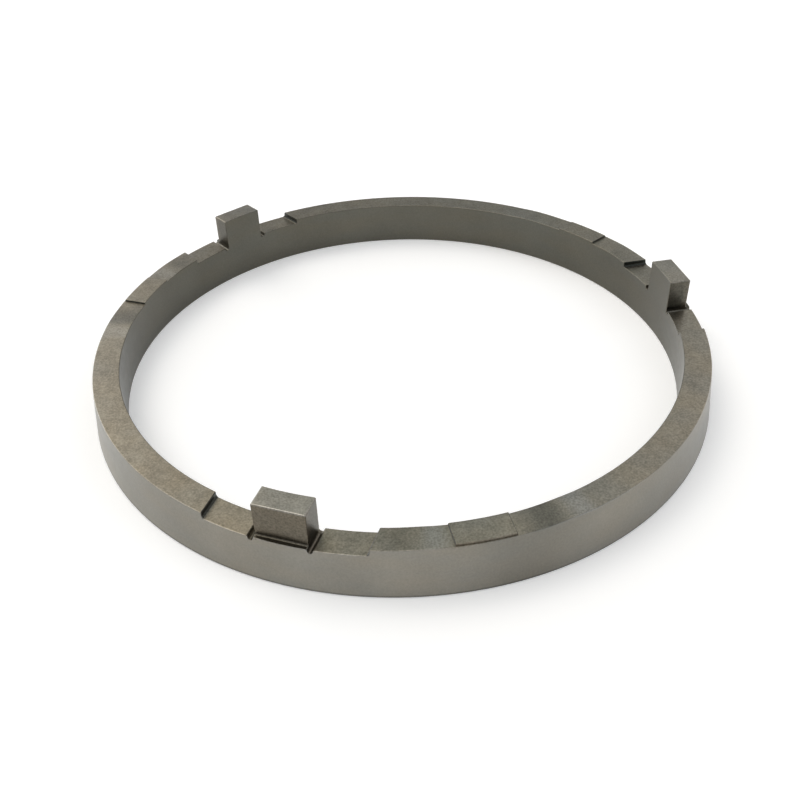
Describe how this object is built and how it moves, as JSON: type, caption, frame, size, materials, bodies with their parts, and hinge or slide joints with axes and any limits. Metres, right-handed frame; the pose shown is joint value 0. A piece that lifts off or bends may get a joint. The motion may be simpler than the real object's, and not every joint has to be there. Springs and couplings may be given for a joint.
{
  "type": "synchronizer ring",
  "caption": "Flat steel synchronizer ring with an outer friction cone, a plain bore and upright drive lugs in milled recesses, which brings gears to one speed before they engage.",
  "frame": {"origin": "on the ring's axis at the underside that it rests on", "axes": "+Z along the ring's axis, from the wide end of the cone to the lugs; +X through the middle of the first lug"},
  "size_m": [0.15, 0.15, 0.018],
  "materials": {
    "machined_steel": "satin machined steel, fine grain, lightly oiled"
  },
  "bodies": {
    "root": {"synchronizer_ring": "machined_steel"}
  },
  "joints": []
}
